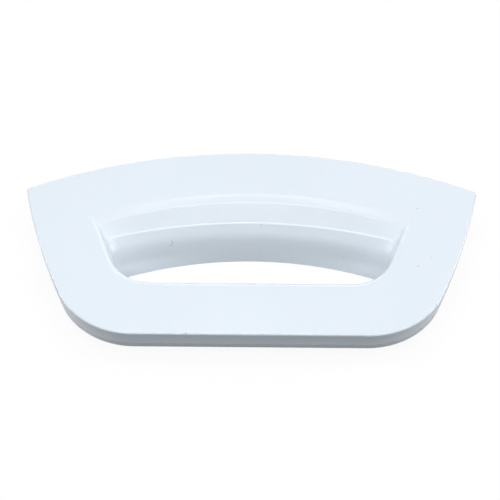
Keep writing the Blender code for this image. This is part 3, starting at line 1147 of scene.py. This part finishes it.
@dataclass
class LooseDirt:
    """Grains of grit and one curled hair that lie on the handle, in millimetres.

    Attributes:
        grains: Place of each grain, roughly, and its radius.
        hair: Places along the hair, roughly.
        hair_radius: Radius of the hair.
        hair_tip: Share of that radius at the hair's ends.
        proud: How far a grain stands above the surface that it lies on.
        uneven: How far a grain's points stray, as a share of its radius.
        furthest: How far its furthest point lies from its middle at most, as a share of its radius.
        narrow: A grain's width as a share of its length.
        turn: Turn of each grain after the one before, in radians.
    """

    grains: tuple[tuple[float, float, float, float], ...] = (
        (68.0, 16.0, 19.2, 0.21),
        (65.5, -14.0, 19.2, 0.22),
        (4.0, 11.0, 14.0, 0.16),
        (-24.0, -46.5, 19.2, 0.22),
        (71.0, -9.5, 19.2, 0.15),
        (38.0, 0.5, 5.5, 0.14),
        (46.0, 0.0, 7.5, 0.13),
        (3.5, 3.5, 3.0, 0.15),
        (33.5, -46.5, 14.0, 0.14),
        (48.5, -4.5, 1.0, 0.12),
        (29.5, 3.5, 8.0, 0.10),
        (40.5, 15.5, 18.0, 0.12),
        (14.0, 29.0, 19.2, 0.11),
        (-37.0, -33.5, 19.2, 0.11),
        (70.5, -32.5, 19.2, 0.11),
        (-44.5, 7.0, 15.0, 0.12),
        (-37.0, 13.5, 17.0, 0.10),
        (-71.0, 1.0, 19.2, 0.09),
        (29.0, 36.5, 19.2, 0.09),
        (48.0, 17.5, 19.2, 0.09),
        (-70.5, -29.5, 19.2, 0.10),
        (47.0, -40.0, 19.2, 0.10),
        (5.0, -47.0, 18.0, 0.10),
        (-24.5, -47.0, 15.5, 0.09),
        (-56.5, -28.5, 19.2, 0.08),
    )
    hair: tuple[tuple[float, float, float], ...] = (
        (-33.0, 4.9, 11.0),
        (-32.3, 4.5, 10.4),
        (-32.1, 4.2, 9.9),
        (-32.4, 3.8, 9.4),
        (-32.4, 3.5, 9.0),
        (-32.9, 3.3, 8.8),
        (-33.5, 3.2, 8.9),
    )
    hair_radius: float = 0.055
    hair_tip: float = 0.4
    proud: float = 0.02
    uneven: float = 0.25
    furthest: float = 1.3
    narrow: float = 0.75
    turn: float = 2.4
    grit: HouseholdGrit = HouseholdGrit()
    keratin: HairKeratin = HairKeratin()

    def grain(self, radius: float, seed: int) -> bpy.types.Object:
        """One uneven flake at the origin, in metres.

        Args:
            radius: Its radius, in metres.
            seed: Seed of its unevenness.

        Returns:
            The flake, lying flat with its top just above the origin's plane.
        """
        deselect()
        bpy.ops.mesh.primitive_ico_sphere_add(subdivisions=2, radius=radius)
        flake = bpy.context.object
        flat = self.proud / 1000 / (radius * self.furthest)
        with editing():
            bpy.ops.transform.vertex_random(offset=radius * self.uneven, uniform=0.4, normal=0.5, seed=seed)
            bpy.ops.transform.resize(value=(1.0, self.narrow, flat), center_override=(0.0, 0.0, 0.0))
        return flake

    def scatter(self, moulding: bpy.types.Object) -> bpy.types.Object:
        """Lays the grains on the moulding's surface.

        Args:
            moulding: The finished moulding.

        Returns:
            All grains as one piece.
        """
        flakes = []
        for i, (x, y, z, radius) in enumerate(self.grains):
            _, place, normal, _ = moulding.closest_point_on_mesh(Vector((x, y, z)) / 1000)
            flake = self.grain(radius / 1000, seed=i)
            turn = normal.to_track_quat("Z", "X") @ Matrix.Rotation(i * self.turn, 3, "Z").to_quaternion()
            flake.data.transform(Matrix.Translation(place) @ turn.to_matrix().to_4x4())
            flakes.append(flake)
        return joined("grit", flakes)

    def curl(self, moulding: bpy.types.Object) -> bpy.types.Object:
        """Lays the hair on the moulding as a thin tube that tapers to both ends.

        Args:
            moulding: The finished moulding.

        Returns:
            The hair as a mesh.
        """
        deselect()
        bpy.ops.curve.primitive_bezier_curve_add()
        hair = bpy.context.object
        hair.data.dimensions = "3D"
        hair.data.bevel_depth = self.hair_radius / 1000
        hair.data.bevel_resolution = 2
        hair.data.use_fill_caps = True
        spline = hair.data.splines[0]
        spline.bezier_points.add(len(self.hair) - 2)
        for i, (knot, (x, y, z)) in enumerate(zip(spline.bezier_points, self.hair)):
            _, place, normal, _ = moulding.closest_point_on_mesh(Vector((x, y, z)) / 1000)
            knot.co = place + normal * self.hair_radius / 1000
            knot.handle_left_type = knot.handle_right_type = "AUTO"
            knot.radius = 1.0 if 0 < i < len(self.hair) - 1 else self.hair_tip
        only(hair)
        bpy.ops.object.convert(target="MESH")
        bpy.ops.object.shade_smooth()
        hair = bpy.context.object
        hair.name = "hair"
        return hair

    def build(self, moulding: bpy.types.Object) -> None:
        """Builds and dresses the grit and the hair on the moulding.

        Args:
            moulding: The finished moulding.
        """
        for piece, finish in ((self.scatter(moulding), self.grit), (self.curl(moulding), self.keratin)):
            piece.data.materials.clear()
            piece.data.materials.append(finish.make())
            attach(piece, BODY)
            LOG.info("%s: %d faces", piece.name, len(piece.data.polygons))


@dataclass
class Handle:
    """The whole handle, as one moulding."""

    lines: SectionLines = field(default_factory=lambda: SectionLines(HandleSizes()))
    finish: GlossMouldedAbs = GlossMouldedAbs()
    smooth_below: float = math.radians(28)

    def build(self) -> bpy.types.Object:
        """Builds and dresses the handle.

        Returns:
            The finished piece, riding on its body in place of the solid.
        """
        moulding = Shell(self.lines).build()
        LOG.info("shell: %d faces", len(moulding.data.polygons))
        BackStructure(self.lines).add_to(moulding)
        only(moulding)
        bpy.ops.object.shade_smooth_by_angle(angle=self.smooth_below)
        moulding.data.materials.clear()
        moulding.data.materials.append(self.finish.make())
        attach(moulding, BODY)
        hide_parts(NODE)
        LOG.info("handle_moulding: %d faces", len(moulding.data.polygons))
        return moulding


@dataclass(frozen=True)
class SoftBox:
    """A soft studio lamp that faces the handle.

    Attributes:
        name: Name of the lamp.
        elevation: Direction to the lamp in degrees, from the near horizon over the top to the far one.
        azimuth: Turn of that direction about the vertical, in degrees.
        distance: Distance from the handle.
        width: Length of the lamp's long side, which lies level.
        height: Length of its short side.
        radiance: How bright its face is; 1 is the white of the background.
    """

    name: str
    elevation: float
    azimuth: float
    distance: float
    width: float
    height: float
    radiance: float

    def add(self, aim: Vector) -> bpy.types.Object:
        """Adds the lamp.

        Args:
            aim: The point it faces.

        Returns:
            The lamp's object.
        """
        turn = Matrix.Rotation(math.radians(self.azimuth), 3, "Z")
        tilt = math.radians(self.elevation)
        outward = turn @ Vector((0.0, -math.cos(tilt), math.sin(tilt)))
        light = bpy.data.lights.new(self.name, "AREA")
        light.shape = "RECTANGLE"
        light.size, light.size_y = self.width, self.height
        light.energy = math.pi * self.width * self.height * self.radiance
        lamp = bpy.data.objects.new(self.name, light)
        level = turn @ Vector((1.0, 0.0, 0.0))
        up = outward.cross(level)
        lamp.matrix_world = Matrix.Translation(aim + outward * self.distance) @ Matrix(
            (level, up, outward)
        ).transposed().to_4x4()
        bpy.context.scene.collection.objects.link(lamp)
        return lamp


@dataclass
class Studio:
    """Plain pale floor, white background and soft lamps."""

    floor_size: float = 6.0
    floor_glow: float = 0.92
    white: str = "FFFFFF"
    floor_bounce: str = "3C4A50"
    ambient: str = "F4FAFF"
    ambient_strength: float = 0.10
    lamps: tuple[SoftBox, ...] = (
        SoftBox("top_strip", 91.0, 0.0, 0.9, 1.2, 0.16, 4.2),
        SoftBox("front_strip", 61.0, 0.0, 0.9, 1.2, 0.20, 5.7),
        SoftBox("far_strip", 161.0, 0.0, 0.9, 1.2, 0.14, 4.2),
        SoftBox("far_spot", 115.0, 0.0, 0.9, 0.14, 0.075, 7.0),
        SoftBox("left_box", 18.0, -98.0, 1.0, 0.5, 0.35, 5.4),
        SoftBox("right_box", 18.0, 98.0, 1.0, 0.5, 0.35, 6.8),
        SoftBox("high_left_box", 68.0, -90.0, 1.0, 0.5, 0.4, 0.7),
        SoftBox("high_right_box", 68.0, 90.0, 1.0, 0.5, 0.4, 0.7),
    )

    def build(self) -> None:
        """Adds the floor, the background and the lamps."""
        deselect()
        bpy.ops.mesh.primitive_plane_add(size=self.floor_size)
        floor = bpy.context.object
        floor.name = "floor"
        floor.data.materials.append(self.floor_paper())
        bpy.context.scene.world = self.background()
        aim = Vector((0.0, 0.0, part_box(NODE)[1][2]))
        for lamp in self.lamps:
            lamp.add(aim)
        LOG.info("studio: %d lamps", len(self.lamps))

    @staticmethod
    def to_eye(tree: bpy.types.NodeTree, rest: bpy.types.Node, shown: bpy.types.Node, output: str) -> None:
        """Gives camera, glossy and transmission rays another shader than the rest of the rays.

        Args:
            tree: The node tree.
            rest: Shader for the rest of the rays.
            shown: Shader for the rays that show the scene to the eye.
            output: Blender's type name of the tree's output node.
        """
        path = add_node(tree, "ShaderNodeLightPath").outputs
        seen = path["Is Camera Ray"]
        for ray in ("Is Glossy Ray", "Is Transmission Ray"):
            either = {"0": seen, "1": path[ray]}
            seen = add_node(tree, "ShaderNodeMath", {"operation": "MAXIMUM"}, either).outputs[0]
        shaders = {"0": seen, "1": rest.outputs[0], "2": shown.outputs[0]}
        both = add_node(tree, "ShaderNodeMixShader", inputs=shaders)
        add_node(tree, output, inputs={"Surface": both.outputs[0]})

    def floor_paper(self) -> bpy.types.Material:
        """Matt white paper: white to the eye apart from the handle's soft shadow, dim as a reflector.

        Returns:
            The material.
        """
        material = bpy.data.materials.new("matt_studio_paper")
        material.use_nodes = True
        tree = material.node_tree
        tree.nodes.clear()
        white = {"Color": linear(self.white)}
        glow = add_node(tree, "ShaderNodeEmission", inputs=white | {"Strength": 1.0})
        paper = add_node(tree, "ShaderNodeBsdfDiffuse", inputs=white)
        glowing = {"0": self.floor_glow, "1": paper.outputs[0], "2": glow.outputs[0]}
        shown = add_node(tree, "ShaderNodeMixShader", inputs=glowing)
        dim = add_node(tree, "ShaderNodeBsdfDiffuse", inputs={"Color": linear(self.floor_bounce)})
        self.to_eye(tree, dim, shown, "ShaderNodeOutputMaterial")
        return material

    def background(self) -> bpy.types.World:
        """White to the eye and in reflections, with a dim cool light for the rest.

        Returns:
            The world.
        """
        world = bpy.data.worlds.new("studio")
        world.use_nodes = True
        tree = world.node_tree
        tree.nodes.clear()
        plain = {"Color": linear(self.white), "Strength": 1.0}
        cool = {"Color": linear(self.ambient), "Strength": self.ambient_strength}
        dim, shown = (add_node(tree, "ShaderNodeBackground", inputs=light) for light in (cool, plain))
        self.to_eye(tree, dim, shown, "ShaderNodeOutputWorld")
        return world


@dataclass(frozen=True)
class Viewpoint:
    """The photograph's camera, found from the outline's perspective."""

    tilt: float = 50.4
    distance: float = 0.400
    lens_mm: float = 72.0
    sensor_mm: float = 36.0
    roll: float = 0.49
    shift_x: float = -0.0025
    shift_y: float = -0.0261

    def build(self) -> None:
        """Adds the camera and makes it the scene's."""
        camera = bpy.data.cameras.new("camera")
        camera.lens, camera.sensor_width = self.lens_mm, self.sensor_mm
        camera.shift_x, camera.shift_y = self.shift_x, self.shift_y
        camera.clip_start, camera.clip_end = 0.01, 20.0
        tilt = math.radians(self.tilt)
        eye = bpy.data.objects.new("camera", camera)
        aim = Vector((0.0, 0.0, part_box(NODE)[1][2]))
        out = Vector((0.0, -math.cos(tilt), math.sin(tilt)))
        turn = out.to_track_quat("Z", "Y").to_matrix().to_4x4()
        roll = Matrix.Rotation(math.radians(self.roll), 4, "Z")
        eye.matrix_world = Matrix.Translation(aim + out * self.distance) @ turn @ roll
        bpy.context.scene.collection.objects.link(eye)
        bpy.context.scene.camera = eye


def main() -> None:
    """Builds the handle, the studio and the camera."""
    logging.basicConfig(level=logging.INFO, format="%(name)s: %(message)s")
    LooseDirt().build(Handle().build())
    Studio().build()
    Viewpoint().build()
    bpy.context.scene.view_settings.view_transform = "Standard"


if __name__ == "__main__":
    main()
